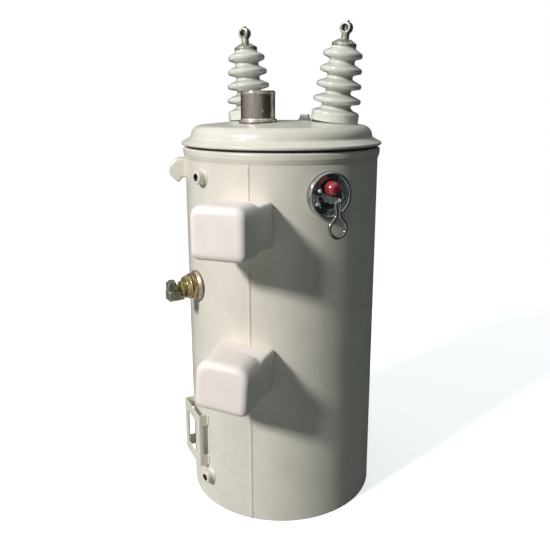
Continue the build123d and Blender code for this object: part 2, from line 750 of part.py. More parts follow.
def terminal_pieces():
    """The side terminal's stack, each piece standing on the one before it."""
    low = root(TERMINAL_GASKET_RADIUS)
    gasket = Pos(0, 0, low) * tube(TERMINAL_GASKET_RADIUS, STUD_RADIUS, TERMINAL_GASKET_THICKNESS - low)
    washer = turned([
        (STUD_RADIUS, 0, 0),
        (WASHER_RADIUS, 0, 0),
        (WASHER_RADIUS, WASHER_EDGE, 0),
        (WASHER_FLAT_RADIUS, WASHER_DEPTH, 0),
        (STUD_RADIUS, WASHER_DEPTH, 0),
    ])
    wide, narrow = TAPER_NUT_RADII
    taper = turned([
        (STUD_RADIUS, 0, 0),
        (wide, 0, TAPER_NUT_ROUND),
        (narrow, TAPER_NUT_LENGTH, TAPER_NUT_ROUND),
        (STUD_RADIUS, TAPER_NUT_LENGTH, 0),
    ])
    stack = [
        ("terminal_washer", washer, WASHER_DEPTH),
        ("terminal_nut", hexagon(NUT_ACROSS, NUT_THICKNESS), NUT_THICKNESS),
        ("terminal_copper_washer", tube(COPPER_RADIUS, STUD_RADIUS, COPPER_THICKNESS), COPPER_THICKNESS),
        ("terminal_taper_nut", taper, TAPER_NUT_LENGTH),
        ("terminal_lock_nut", hexagon(LOCK_NUT_ACROSS, LOCK_NUT_LENGTH), LOCK_NUT_LENGTH),
    ]
    start = TERMINAL_GASKET_THICKNESS + sum(length for _, _, length in stack) + CLAMP_GAP
    stud = extrude(Circle(STUD_RADIUS), start + JAW_SETBACK)
    pieces = {"terminal_gasket": gasket, "terminal_stud": stud}
    z = TERMINAL_GASKET_THICKNESS
    for name, shape, length in stack:
        pieces[name] = Pos(0, 0, z) * shape - stud
        z += length
    pieces["terminal_clamp"] = terminal_clamp(start, stud)
    pieces["terminal_clamp_bolt"] = clamp_bolt(start + CLAMP_DEPTH)
    return {name: on_terminal(shape) - tank_envelope() for name, shape in pieces.items()}


def lv_place(index, standoff=0.0):
    azimuth = LV_MIDDLE_AZIMUTH + (index - (LV_COUNT - 1) / 2) * LV_SPACING
    return on_wall(azimuth, LV_HEIGHT) * Pos(0, 0, standoff)


def lv_bushing(index):
    back = root(LV_FLANGE_RADIUS)
    body = turned([
        (0, back, 0),
        (LV_FLANGE_RADIUS, back, 0),
        (LV_FLANGE_RADIUS, LV_FLANGE_THICKNESS, LV_ROUND),
        (LV_CORE_RADIUS, LV_FLANGE_THICKNESS + LV_ROUND, LV_ROUND),
        (LV_CORE_RADIUS, LV_SHED_START, LV_ROUND),
        (LV_SHED_RADIUS, LV_SHED_START + LV_ROUND, LV_ROUND),
        (LV_SHED_RADIUS, LV_SHED_START + LV_SHED_THICKNESS, LV_ROUND),
        (LV_CORE_RADIUS, LV_SHED_START + LV_SHED_THICKNESS + LV_ROUND, LV_ROUND),
        (LV_CORE_RADIUS, LV_LENGTH, LV_ROUND),
        (0, LV_LENGTH, 0),
    ])
    return lv_place(index) * body - tank_envelope()


def lv_terminal(index):
    """A stud with a washer and two nuts, on the end of a low voltage bushing."""
    nut = hexagon(LV_NUT_ACROSS, LV_NUT_THICKNESS)
    shape = extrude(Circle(LV_STUD_RADIUS), LV_STUD_LENGTH)
    shape += extrude(Circle(LV_WASHER_RADIUS), LV_WASHER_THICKNESS)
    shape += Pos(0, 0, LV_WASHER_THICKNESS) * nut
    shape += Pos(0, 0, LV_WASHER_THICKNESS + LV_NUT_PITCH) * nut
    return lv_place(index, LV_LENGTH) * shape


def model():
    parts = {
        "tank_wall": tank_wall(),
        "tank_bottom": tank_bottom(),
        "tank_rim": tank_rim(),
        "cover_gasket": cover_gasket(),
        "tank_cover": tank_cover(),
        "tap_changer_cap": tap_changer_cap(),
        "cover_plug": cover_plug(),
        "lifting_lug": lifting_lug(),
        "upper_ground_boss": ground_boss(RIM_TOP - UPPER_BOSS_DROP),
        "lower_ground_boss": ground_boss(LOWER_BOSS_HEIGHT),
        "nameplate_frame": nameplate_frame(),
        "valve_rim": valve_rim(),
        "valve_dish": valve_dish(),
        "valve_body": on_valve(valve_collar()),
        "valve_cap": valve_cap(),
        "valve_link": valve_link(),
        "pull_ring": pull_ring(),
    }
    for index, name in enumerate(("left", "right")):
        parts[f"hv_gasket_{name}"] = hv_gasket(index)
        parts[f"hv_porcelain_{name}"] = hv_porcelain(index)
        parts[f"hv_cap_{name}"] = hv_cap(index)
        parts[f"hv_eye_{name}"] = hv_eye(index)
        parts[f"hv_bolt_{name}"] = hv_bolt(index)
    for index, name in enumerate(("upper", "lower")):
        parts[f"{name}_bracket"] = hanger_bracket(index)
        parts[f"{name}_bracket_cover"] = bracket_cover(index)
    parts.update(terminal_pieces())
    for index in range(LV_COUNT):
        parts[f"lv_bushing_{index + 1}"] = lv_bushing(index)
        parts[f"lv_terminal_{index + 1}"] = lv_terminal(index)
    return parts


os.makedirs("parts", exist_ok=True)
for name, shape in model().items():
    export_step(shape, f"parts/{name}.step")
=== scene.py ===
import json
import math
import bpy
from mathutils import Matrix, Vector


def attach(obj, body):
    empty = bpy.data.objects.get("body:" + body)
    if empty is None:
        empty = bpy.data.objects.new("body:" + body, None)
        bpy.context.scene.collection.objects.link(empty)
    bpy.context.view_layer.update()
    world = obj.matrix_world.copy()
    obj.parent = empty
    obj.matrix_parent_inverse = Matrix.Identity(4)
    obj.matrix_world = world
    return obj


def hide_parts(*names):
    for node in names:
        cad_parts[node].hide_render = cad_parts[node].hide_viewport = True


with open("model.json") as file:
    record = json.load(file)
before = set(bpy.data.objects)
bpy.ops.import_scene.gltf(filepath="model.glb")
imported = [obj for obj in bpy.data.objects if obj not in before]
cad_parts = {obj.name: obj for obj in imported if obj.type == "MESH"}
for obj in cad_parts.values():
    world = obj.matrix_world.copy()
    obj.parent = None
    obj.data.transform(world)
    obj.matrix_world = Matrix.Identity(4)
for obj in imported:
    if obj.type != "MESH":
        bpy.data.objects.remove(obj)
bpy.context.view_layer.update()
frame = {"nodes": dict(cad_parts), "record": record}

# A pole mounted transformer: metres, +Z up, the tank's axis through the origin.
# Sizes below are in mm, and azimuths in degrees from -Y, the pole side, towards +X.
MM = 0.001

# The tank and its lid
TANK_RADIUS = 203.2
TANK_WALL_TOP = 743.0
DOME_TOP = 817.0
DOME_RISE = 11.0
SHOULDER_RADIUS = 188.0
DOME_SPHERE = (SHOULDER_RADIUS**2 + DOME_RISE**2) / (2 * DOME_RISE)

# What is fixed to the wall
SEAM_AZIMUTH = 2.0
SEAM_HALF_WIDTH = 3.6
LUG_AZIMUTH = -65.0
LUG_TOP = 741.0
LUG_WIDTH = 36.0
LUG_HEIGHT = 41.0
BOSS_AZIMUTH = -29.0
BOSS_HEIGHTS = {"upper": 713.0, "lower": 64.0}
BOSS_RADIUS = 13.5
BOSS_LENGTH = 16.0
BOSS_HOLE_RADIUS = 6.35
BOSS_HOLE_DEPTH = 14.0
BOSS_THREAD_PITCH = 1.95
FRAME_AZIMUTH = -44.7
FRAME_HALF_WIDTH = 49.5
FRAME_BOTTOM = 86.0
FRAME_TOP = 205.0
FRAME_TAB = 24.5
BEAD_RADIUS = 2.6

# The relief valve
VALVE_AZIMUTH = 46.0
VALVE_HEIGHT = 685.0
VALVE_FLOOR = 3.0
VALVE_CAP_UP = 14.0
VALVE_CAP_FOOT = 8.0
VALVE_SCREWS = ((-28.5, -16.0), (24.0, -21.0), (-22.5, 9.5))
VALVE_SCREW_TURN = 37.0

# The side terminal, each piece by its distance from the wall
TERMINAL_AZIMUTH = -39.0
TERMINAL_HEIGHT = 486.0
TERMINAL_NUT_FOOT = 8.0
TAPER_NUT_FOOT = 19.0
LOCK_NUT_FOOT = 29.0
STUD_RADIUS = 8.0
STUD_THREAD_PITCH = 2.0
KNURL_COLUMNS = 144
CLAMP_BOLT_DROP = 20.0
CLAMP_BOLT_STANDOFF = 56.0
SCREW_THREAD_PITCH = 1.25

# The low voltage terminals at the back
LV_AZIMUTHS = (152.0, 180.0, 208.0)
LV_HEIGHT = 590.0
LV_LENGTH = 56.0

# What stands on the lid
TAP_CAP_PLACE = (-24.0, -72.0)
TAP_CAP_RADIUS = 34.5
RIVET_AZIMUTH = 38.0
RIVET_HEIGHT = 22.0
BUSHING_PAIR_CENTRE = (7.0, 41.0)
BUSHING_SPACING = 206.0
BUSHING_LINE_ANGLE = -10.0
BUSHING_TILTS = {-1: 4.2, 1: 7.1}
EYE_HEIGHT = 187.2

# The camera, as the photograph was taken
CAMERA_AZIMUTH = 20.0
CAMERA_DISTANCE = 1.3456
CAMERA_HEIGHT = 0.8567
CAMERA_PITCH = 13.423
PICTURE_SIDE = 550.0
LENS_PIXELS = 625.09
LENS_CENTRE = (281.5, 250.0)
SENSOR_WIDTH = 36.0

# The studio: a key lamp, a weak lamp behind, a sky that lights from overhead, and what mirrors see
FLOOR_SIDE = 12.0
LAMP_DISTANCE = 7.0
KEY_AZIMUTH = -28.0
KEY_RISE = 31.0
KEY_SIDE = 0.8
KEY_POWER = 455.0
KEY_COLOUR = (1.0, 0.985, 0.96)
BACK_AZIMUTH = 192.0
BACK_RISE = 25.0
BACK_SIDE = 3.0
BACK_POWER = 85.0
SKY_POWER = 1.3
SKY_FROM = 0.7
SKY_COLOUR = (0.86, 0.98, 1.0)
FLOOR_COLOUR = "#E9E9E7"
FLOOR_LIFT = 0.6
FLOOR_BOUNCE = "#747A78"
FLOOR_SHADOW_REACH = (0.7, 2.4)
MIRROR_RISE = 60.0
MIRROR_DARK = 0.05
MIRROR_SPAN = (-0.05, 0.62)

# The nodes whose finish isn't that of their slot; the chrome ones are copies darkened as painted shade
NODE_FINISHES = {
    "valve_dish": "bowl_chrome_painted_shade",
    "valve_body": "body_chrome_painted_shade",
    "valve_link": "zinc_plate",
    "pull_ring": "ring_chrome_painted_shade",
}


def linear(code):
    """The linear RGBA of an sRGB hex colour."""
    channels = [int(code[i:i + 2], 16) / 255 for i in (1, 3, 5)]
    return [c / 12.92 if c <= 0.04045 else ((c + 0.055) / 1.055) ** 2.4 for c in channels] + [1.0]


def per_mm(size):
    """The texture scale at which one cell of a pattern is this many millimetres wide."""
    return 1 / (size * MM)


def add(tree, kind, inputs=(), **settings):
    """One node, with its own settings, and its inputs given as values or as sockets to link."""
    made = tree.nodes.new(kind)
    for name, value in settings.items():
        setattr(made, name, value)
    for name, value in dict(inputs).items():
        if isinstance(value, bpy.types.NodeSocket):
            tree.links.new(value, made.inputs[name])
        else:
            made.inputs[name].default_value = value
    return made


def start_material(name, **constants):
    """A material with its shader's constants set, and its tree, shader and object coordinates."""
    material = bpy.data.materials.new(name)
    material.use_nodes = True
    tree = material.node_tree
    shader = tree.nodes["Principled BSDF"]
    for socket, value in constants.items():
        shader.inputs[socket.replace("_", " ")].default_value = value
    place = add(tree, "ShaderNodeTexCoord").outputs["Object"]
    return material, tree, shader, place


def ramp_between(ramp, low, high):
    """Sets a two-stop colour ramp's places and colours, each stop given as (place, colour)."""
    for stop, (place, colour) in zip(ramp.color_ramp.elements, (low, high)):
        stop.position = place
        stop.color = colour


# Sprayed enamel on rolled steel: a soft gloss over faint orange peel, on sheet that is not quite true.
def tank_enamel():
    material, tree, shader, place = start_material(
        "tank_enamel", Roughness=0.3, IOR=1.5, Coat_Weight=0.25, Coat_Roughness=0.12
    )
    dust = add(tree, "ShaderNodeTexNoise", {
        "Vector": place, "Scale": per_mm(90), "Detail": 5.0, "Roughness": 0.6
    })
    tint = add(tree, "ShaderNodeValToRGB", {"Fac": dust.outputs["Fac"]})
    ramp_between(tint, (0.35, linear("#DBD6CA")), (0.65, linear("#E5E0D4")))
    tree.links.new(tint.outputs["Color"], shader.inputs["Base Color"])
    gloss = add(tree, "ShaderNodeMapRange", {"Value": dust.outputs["Fac"], "To Min": 0.26, "To Max": 0.38})
    tree.links.new(gloss.outputs["Result"], shader.inputs["Roughness"])
    peel = add(tree, "ShaderNodeTexNoise", {"Vector": place, "Scale": per_mm(4), "Detail": 2.0})
    sheet = add(tree, "ShaderNodeTexNoise", {"Vector": place, "Scale": per_mm(110), "Detail": 1.0})
    fine = add(tree, "ShaderNodeBump", {
        "Height": peel.outputs["Fac"], "Distance": 0.06 * MM, "Strength": 0.5
    })
    wave = add(tree, "ShaderNodeBump", {
        "Height": sheet.outputs["Fac"], "Distance": 2.4 * MM, "Strength": 0.35,
        "Normal": fine.outputs["Normal"],
    })
    tree.links.new(wave.outputs["Normal"], shader.inputs["Normal"])
    return material


# Moulded polyethylene: waxy, softly lit from within, with the mould's faint orange skin.
def moulded_polyethylene():
    material, tree, shader, place = start_material(
        "moulded_polyethylene", Roughness=0.48, IOR=1.51,
        Subsurface_Weight=0.12, Subsurface_Radius=(0.02, 0.014, 0.011), Subsurface_Scale=0.4,
    )
    cloud = add(tree, "ShaderNodeTexNoise", {"Vector": place, "Scale": per_mm(45), "Detail": 4.0})
    tint = add(tree, "ShaderNodeValToRGB", {"Fac": cloud.outputs["Fac"]})
    ramp_between(tint, (0.3, linear("#F2E7E1")), (0.7, linear("#F9F0EC")))
    tree.links.new(tint.outputs["Color"], shader.inputs["Base Color"])
    skin = add(tree, "ShaderNodeTexNoise", {"Vector": place, "Scale": per_mm(3), "Detail": 3.0})
    sink = add(tree, "ShaderNodeTexNoise", {"Vector": place, "Scale": per_mm(38), "Detail": 1.0})
    fine = add(tree, "ShaderNodeBump", {
        "Height": skin.outputs["Fac"], "Distance": 0.12 * MM, "Strength": 0.4
    })
    wave = add(tree, "ShaderNodeBump", {
        "Height": sink.outputs["Fac"], "Distance": 2.0 * MM, "Strength": 0.4,
        "Normal": fine.outputs["Normal"],
    })
    tree.links.new(wave.outputs["Normal"], shader.inputs["Normal"])
    return material


# Nitrile rubber, cut from sheet: near black, matt, with a dusty bloom.
def nitrile_rubber():
    material, tree, shader, place = start_material("nitrile_rubber", Roughness=0.62, IOR=1.52)
    bloom = add(tree, "ShaderNodeTexNoise", {"Vector": place, "Scale": per_mm(14), "Detail": 6.0})
    tint = add(tree, "ShaderNodeValToRGB", {"Fac": bloom.outputs["Fac"]})
    ramp_between(tint, (0.35, linear("#211E1D")), (0.75, linear("#3A3533")))
    tree.links.new(tint.outputs["Color"], shader.inputs["Base Color"])
    grain = add(tree, "ShaderNodeTexNoise", {"Vector": place, "Scale": per_mm(1.2), "Detail": 3.0})
    fine = add(tree, "ShaderNodeBump", {
        "Height": grain.outputs["Fac"], "Distance": 0.1 * MM, "Strength": 0.5
    })
    tree.links.new(fine.outputs["Normal"], shader.inputs["Normal"])
    return material


# Wet-process porcelain under a fired grey glaze: glassy, with a slow ripple and a few pale specks.
def glazed_porcelain():
    material, tree, shader, place = start_material(
        "glazed_porcelain", Roughness=0.16, IOR=1.52, Coat_Weight=0.6, Coat_Roughness=0.05
    )
    cloud = add(tree, "ShaderNodeTexNoise", {"Vector": place, "Scale": per_mm(22), "Detail": 4.0})
    tint = add(tree, "ShaderNodeValToRGB", {"Fac": cloud.outputs["Fac"]})
    ramp_between(tint, (0.3, linear("#D6D6CE")), (0.7, linear("#E0E0D8")))
    speck = add(tree, "ShaderNodeTexVoronoi", {"Vector": place, "Scale": per_mm(9)})
    fleck = add(tree, "ShaderNodeValToRGB", {"Fac": speck.outputs["Distance"]})
    ramp_between(fleck, (0.03, linear("#B9BAB2")), (0.07, linear("#FFFFFF")))
    glaze = add(tree, "ShaderNodeMix", {0: 0.5, 6: tint.outputs["Color"], 7: fleck.outputs["Color"]},
                data_type="RGBA", blend_type="MULTIPLY")
    tree.links.new(glaze.outputs[2], shader.inputs["Base Color"])
    ripple = add(tree, "ShaderNodeTexNoise", {"Vector": place, "Scale": per_mm(16), "Detail": 1.0})
    wave = add(tree, "ShaderNodeBump", {
        "Height": ripple.outputs["Fac"], "Distance": 0.7 * MM, "Strength": 0.3
    })
    tree.links.new(wave.outputs["Normal"], shader.inputs["Normal"])
    return material


def worn_metal(name, dark, light, smooth, rough, cell, grain):
    """A bare or plated metal whose tarnish mottles its colour and its gloss, over a fine grain."""
    material, tree, shader, place = start_material(name, Metallic=1.0)
    stain = add(tree, "ShaderNodeTexNoise", {
        "Vector": place, "Scale": per_mm(cell), "Detail": 6.0, "Roughness": 0.6
    })
    tint = add(tree, "ShaderNodeValToRGB", {"Fac": stain.outputs["Fac"]})
    ramp_between(tint, (0.32, linear(dark)), (0.66, linear(light)))
    tree.links.new(tint.outputs["Color"], shader.inputs["Base Color"])
    gloss = add(tree, "ShaderNodeMapRange", {
        "Value": stain.outputs["Fac"], "To Min": rough, "To Max": smooth
    })
    tree.links.new(gloss.outputs["Result"], shader.inputs["Roughness"])
    pits = add(tree, "ShaderNodeTexNoise", {"Vector": place, "Scale": per_mm(grain), "Detail": 3.0})
    fine = add(tree, "ShaderNodeBump", {
        "Height": pits.outputs["Fac"], "Distance": 0.08 * MM, "Strength": 0.5
    })
    tree.links.new(fine.outputs["Normal"], shader.inputs["Normal"])
    return material


# Hot-tinned cast bronze: pale silver that shows yellow where the tin is thin.
def tinned_bronze():
    return worn_metal("tinned_bronze", "#7F7D70", "#CDCBC0", 0.2, 0.4, 9, 1.4)


# Machined yellow brass, dulled to olive in its hollows.
def machined_brass():
    return worn_metal("machined_brass", "#7D7250", "#CFC296", 0.2, 0.4, 8, 1.0)


# Cast bronze clamp whose tin has dulled to a green grey.
def dulled_tin():
    return worn_metal("dulled_tin", "#6A6C5F", "#C6C5B2", 0.24, 0.42, 6, 1.4)


# A brass washer gone pale and pinkish where the zinc has left its skin.
def paled_brass():
    return worn_metal("paled_brass", "#93826F", "#C9B6A8", 0.28, 0.45, 10, 1.2)


# Cut steel with thread oil, painted near black: partly the oiled steel, partly painted shade inside the
# tapped holes.
def oiled_steel_and_painted_shade():
    return worn_metal("oiled_steel_and_painted_shade", "#1D1C1A", "#4A4744", 0.3, 0.5, 4, 0.8)


# Steel under bright zinc plate, faintly crystalline.
def zinc_plate():
    return worn_metal("zinc_plate", "#B4B8B4", "#EDEFEB", 0.22, 0.38, 5, 0.9)


# Bare sheet copper, browned by handling.
def bare_copper():
    return worn_metal("bare_copper", "#6B4A38", "#A98468", 0.25, 0.45, 7, 1.0)


# Rolled aluminium edges, painted lighter than the cup as a painted highlight along the bead and the lip.
def aluminium_painted_highlight():
    return worn_metal("aluminium_painted_highlight", "#A29A93", "#D9D2CA", 0.2, 0.34, 7, 1.0)


# Deep-drawn aluminium, anodised brown-grey: satin, with draw marks along the cup's height.
def drawn_aluminium():
    material, tree, shader, place = start_material("drawn_aluminium", Metallic=1.0)
    stretched = add(tree, "ShaderNodeMapping", {"Vector": place, "Scale": (1.0, 1.0, 0.03)})
    marks = add(tree, "ShaderNodeTexNoise", {
        "Vector": stretched.outputs["Vector"], "Scale": per_mm(2.5), "Detail": 4.0, "Roughness": 0.7
    })
    tint = add(tree, "ShaderNodeValToRGB", {"Fac": marks.outputs["Fac"]})
    ramp_between(tint, (0.3, linear("#8A817A")), (0.7, linear("#B3A9A0")))
    tree.links.new(tint.outputs["Color"], shader.inputs["Base Color"])
    gloss = add(tree, "ShaderNodeMapRange", {"Value": marks.outputs["Fac"], "To Min": 0.16, "To Max": 0.28})
    tree.links.new(gloss.outputs["Result"], shader.inputs["Roughness"])
    fine = add(tree, "ShaderNodeBump", {
        "Height": marks.outputs["Fac"], "Distance": 0.06 * MM, "Strength": 0.4
    })
    tree.links.new(fine.outputs["Normal"], shader.inputs["Normal"])
    return material


def plated_mirror(name, tone, dents=0.25, cell=14):
    """Chrome plate over steel: a mirror with finger haze, over dents this strong and this many mm wide, in
    a given tone, which the darker copies lower as painted shade.
    """
    material, tree, shader, place = start_material(name, Metallic=1.0, Base_Color=linear(tone))
    haze = add(tree, "ShaderNodeTexNoise", {"Vector": place, "Scale": per_mm(20), "Detail": 5.0})
    gloss = add(tree, "ShaderNodeMapRange", {"Value": haze.outputs["Fac"], "To Min": 0.04, "To Max": 0.14})
    tree.links.new(gloss.outputs["Result"], shader.inputs["Roughness"])
    press = add(tree, "ShaderNodeTexNoise", {"Vector": place, "Scale": per_mm(cell), "Detail": 1.0})
    wave = add(tree, "ShaderNodeBump", {
        "Height": press.outputs["Fac"], "Distance": 1.2 * MM, "Strength": dents
    })
    tree.links.new(wave.outputs["Normal"], shader.inputs["Normal"])
    return material


# Bright chrome plate over a spun steel rim, with a faint ripple.
def chrome_plate():
    return plated_mirror("chrome_plate", "#A9ADAA")


# Chrome plate over a pressed bowl, dented by the press, its tone darkened to a smoked grey as painted
# shade.
def bowl_chrome_painted_shade():
    return plated_mirror("bowl_chrome_painted_shade", "#6C7572", dents=1.0, cell=9)


# Chrome plate over the valve's turned body, painted nearly black as painted shade over its reflections.
def body_chrome_painted_shade():
    return plated_mirror("body_chrome_painted_shade", "#2A302E")


# Chrome plate over drawn wire, its tone darkened as painted shade.
def ring_chrome_painted_shade():
    return plated_mirror("ring_chrome_painted_shade", "#868B88")


# Injection moulded red polycarbonate: clear-skinned and deep, with faint flow clouds.
def red_polycarbonate():
    material, tree, shader, place = start_material(
        "red_polycarbonate", Roughness=0.12, IOR=1.58, Coat_Weight=1.0, Coat_Roughness=0.03
    )
    flow = add(tree, "ShaderNodeTexNoise", {"Vector": place, "Scale": per_mm(12), "Detail": 3.0})
    tint = add(tree, "ShaderNodeValToRGB", {"Fac": flow.outputs["Fac"]})
    ramp_between(tint, (0.3, linear("#930B27")), (0.7, linear("#B51434")))
    tree.links.new(tint.outputs["Color"], shader.inputs["Base Color"])
    return material


def make_finishes():
    """Every finish: first those of the record's slots, then those of single pieces."""
    return {
        "tank_paint": tank_enamel(),
        "bracket_cover_white": moulded_polyethylene(),
        "gasket_rubber": nitrile_rubber(),
        "porcelain_glaze": glazed_porcelain(),
        "tinned_bronze": tinned_bronze(),
        "dull_aluminium": drawn_aluminium(),
        "valve_chrome": chrome_plate(),
        "red_plastic": red_polycarbonate(),
        "copper": bare_copper(),
        "yellow_brass": machined_brass(),
        "bowl_chrome_painted_shade": bowl_chrome_painted_shade(),
        "body_chrome_painted_shade": body_chrome_painted_shade(),
        "ring_chrome_painted_shade": ring_chrome_painted_shade(),
        "zinc_plate": zinc_plate(),
        "dulled_tin": dulled_tin(),
        "paled_brass": paled_brass(),
        "oiled_steel_and_painted_shade": oiled_steel_and_painted_shade(),
        "aluminium_painted_highlight": aluminium_painted_highlight(),
    }


def dress_nodes(finishes):
    """Gives every solid of the frame its own finish, or else that of its slot."""
    for part in frame["record"]["subparts"]:
        node = part["node"]
        solid = frame["nodes"][node]
        solid.data.materials.clear()
        solid.data.materials.append(finishes[NODE_FINISHES.get(node, part["material_slot"])])


def select_only(piece):
    """Makes this piece the only selected and the active one."""
    bpy.ops.object.select_all(action="DESELECT")
    piece.select_set(True)
    bpy.context.view_layer.objects.active = piece


def select_points(piece, wanted):
    """Leaves the piece in edit mode, with the points selected whose place in mm is wanted."""
    select_only(piece)
    bpy.ops.object.mode_set(mode="EDIT")
    bpy.ops.mesh.select_all(action="DESELECT")
    bpy.ops.object.mode_set(mode="OBJECT")
    for point in piece.data.vertices:
        point.select = wanted(point.co / MM)
    bpy.ops.object.mode_set(mode="EDIT")


def column(place, columns):
    """The number of the column of points, round a turned piece, that this place lies in."""
    return round(math.atan2(place.y, place.x) / math.tau * columns)


def rounded(corners, steps=5):
    """The (radius, height) points of an outline whose (radius, height, round) corners are arcs."""
    points = []
    for i, (x, y, r) in enumerate(corners):
        here = Vector((x, y))
        if r == 0:
            points.append((x, y))
            continue
        before = (Vector(corners[i - 1][:2]) - here).normalized()
        after = (Vector(corners[i + 1][:2]) - here).normalized()
        half = before.angle(after) / 2
        middle = here + (before + after).normalized() * r / math.sin(half)
        first = here + before * r / math.tan(half) - middle
        last = here + after * r / math.tan(half) - middle
        start = math.atan2(first.y, first.x)
        turn = math.remainder(math.atan2(last.y, last.x) - start, math.tau)
        for k in range(steps + 1):
            a = start + turn * k / steps
            points.append((middle.x + r * math.cos(a), middle.y + r * math.sin(a)))
    return points


def turned_piece(name, points, steps=64):
    """One point drawn out along a closed outline of (radius, height) points in mm, then spun about Z."""
    bpy.ops.object.select_all(action="DESELECT")
    bpy.ops.mesh.primitive_plane_add(size=MM, location=(0, 0, 0))
    piece = bpy.context.object
    piece.name = name
    bpy.ops.object.mode_set(mode="EDIT")
    bpy.ops.mesh.select_all(action="SELECT")
    bpy.ops.mesh.merge(type="CENTER")
    bpy.ops.transform.translate(value=(points[0][0] * MM, 0, points[0][1] * MM))
    for (r, z), (next_r, next_z) in zip(points, points[1:] + points[:1]):
        step = ((next_r - r) * MM, 0, (next_z - z) * MM)
        bpy.ops.mesh.extrude_region_move(TRANSFORM_OT_translate={"value": step})
    bpy.ops.mesh.select_all(action="SELECT")
    bpy.ops.mesh.spin(steps=steps, angle=math.tau, center=(0, 0, 0), axis=(0, 0, 1))
    bpy.ops.mesh.select_all(action="SELECT")
    bpy.ops.mesh.remove_doubles(threshold=0.001 * MM)
    bpy.ops.mesh.normals_make_consistent(inside=False)
    bpy.ops.object.mode_set(mode="OBJECT")
    return piece


def cut_flats(piece, across):
    """Cuts a turned blank to a hexagon, with corners to its left and right."""
    select_only(piece)
    bpy.ops.object.mode_set(mode="EDIT")
    for k in range(6):
        a = math.radians(30 + 60 * k)
        flat = Vector((math.cos(a), math.sin(a), 0))
        bpy.ops.mesh.select_all(action="SELECT")
        bpy.ops.mesh.bisect(
            plane_co=flat * across / 2 * MM, plane_no=flat, use_fill=True, clear_outer=True
        )
    bpy.ops.mesh.select_all(action="SELECT")
    bpy.ops.mesh.normals_make_consistent(inside=False)
    bpy.ops.object.mode_set(mode="OBJECT")


def hexagonal(name, across, thickness, bore):
    """A nut or a screw's head: a turned blank with coned faces, cut to a hexagon. Its bore may be 0."""
    corner = across / math.sqrt(3)
    flat = across / 2 - 0.4
    cone = 0.04 * across
    piece = turned_piece(name, [
        (bore, 0), (flat, 0), (corner, cone), (corner, thickness - cone), (flat, thickness),
        (bore, thickness)
    ])
    cut_flats(piece, across)
    return piece


def thread(radius, low, high, pitch):
    """The outline points of a thread's ridges from one height to another."""
    turns = round(abs(high - low) / pitch)
    step = (high - low) / turns
    root = radius - 0.55 * pitch
    points = []
    for i in range(turns):
        z = low + i * step
        points += [(root, z), (root, z + 0.15 * step), (radius, z + 0.5 * step), (radius, z + 0.65 * step)]
    return points + [(root, high)]


def bead_outline(length, radius, ripple, pitch):
    """The outline of a straight weld bead: rounded ends, and a ripple for each drop of weld metal."""
    count = max(3, round(length / pitch))
    points = [(0, 0), (0.55 * radius, 0.15 * radius), (0.85 * radius, 0.5 * radius)]
    for k in range(1, 2 * count):
        z = length * k / (2 * count)
        points.append((radius if k % 2 else radius - ripple, z))
    return points + [
        (0.85 * radius, length - 0.5 * radius), (0.55 * radius, length - 0.15 * radius), (0, length)
    ]


def block(x, y, z):
    """A box between these limits in mm."""
    bpy.ops.object.select_all(action="DESELECT")
    bpy.ops.mesh.primitive_cube_add(size=MM)
    piece = bpy.context.object
    piece.scale = (x[1] - x[0], y[1] - y[0], z[1] - z[0])
    piece.location = Vector((x[0] + x[1], y[0] + y[1], z[0] + z[1])) / 2 * MM
    bpy.ops.object.transform_apply(location=True, rotation=True, scale=True)
    return piece


def cut_slot(piece, width, depth, top):
    """Cuts a driver's slot across a screw's head, down from its top."""
    blade = block((-10, 10), (-width / 2, width / 2), (top - depth, top + depth))
    select_only(piece)
    slot = piece.modifiers.new("slot", "BOOLEAN")
    slot.operation = "DIFFERENCE"
    slot.object = blade
    bpy.ops.object.modifier_apply(modifier=slot.name)
    bpy.data.objects.remove(blade, do_unlink=True)


def join_pieces(first, *others):
    """Makes these pieces one mesh, in the first one's object."""
    bpy.ops.object.select_all(action="DESELECT")
    for piece in (first, *others):
        piece.select_set(True)
    bpy.context.view_layer.objects.active = first
    bpy.ops.object.join()


def even_skin(piece, voxel, rounds):
    """Gives a solid one skin of even cells and softens its edges, as a mould or a casting does."""
    select_only(piece)
    skin = piece.modifiers.new("even_skin", "REMESH")
    skin.voxel_size = voxel * MM
    skin.use_smooth_shade = True
    soft = piece.modifiers.new("soft_edges", "SMOOTH")
    soft.factor = 0.6
    soft.iterations = rounds
    bpy.ops.object.modifier_apply(modifier=skin.name)
    bpy.ops.object.modifier_apply(modifier=soft.name)


def moulded_copy(name, node, voxel, rounds):
    """A copy of a solid with an even skin and softened edges, which stands for that solid."""
    piece = bpy.data.objects.new(name, frame["nodes"][node].data.copy())
    bpy.context.scene.collection.objects.link(piece)
    select_only(piece)
    bpy.ops.object.mode_set(mode="EDIT")
    bpy.ops.mesh.select_all(action="SELECT")
    bpy.ops.mesh.remove_doubles(threshold=0.01 * MM)
    bpy.ops.mesh.normals_make_consistent(inside=False)
    bpy.ops.object.mode_set(mode="OBJECT")
    even_skin(piece, voxel, rounds)
    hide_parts(node)
    return piece


def set_in(piece, place):
    """Moves a piece's mesh to its place, so that its object stays at the origin."""
    select_only(piece)
    piece.matrix_world = place
    bpy.ops.object.transform_apply(location=True, rotation=True, scale=True)


def finish_piece(piece, place, finish, soften=0.25, smooth=40):
    """Breaks a piece's sharp edges, sets it in its place, and gives it its finish, slot and body."""
    select_only(piece)
    if soften:
        edges = piece.modifiers.new("broken_edges", "BEVEL")
        edges.width = soften * MM
        edges.segments = 2
        edges.angle_limit = math.radians(35)
        bpy.ops.object.modifier_apply(modifier=edges.name)
    bpy.ops.object.shade_smooth_by_angle(angle=math.radians(smooth))
    set_in(piece, place)
    piece.data.materials.clear()
    piece.data.materials.append(finish)
    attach(piece, "transformer")


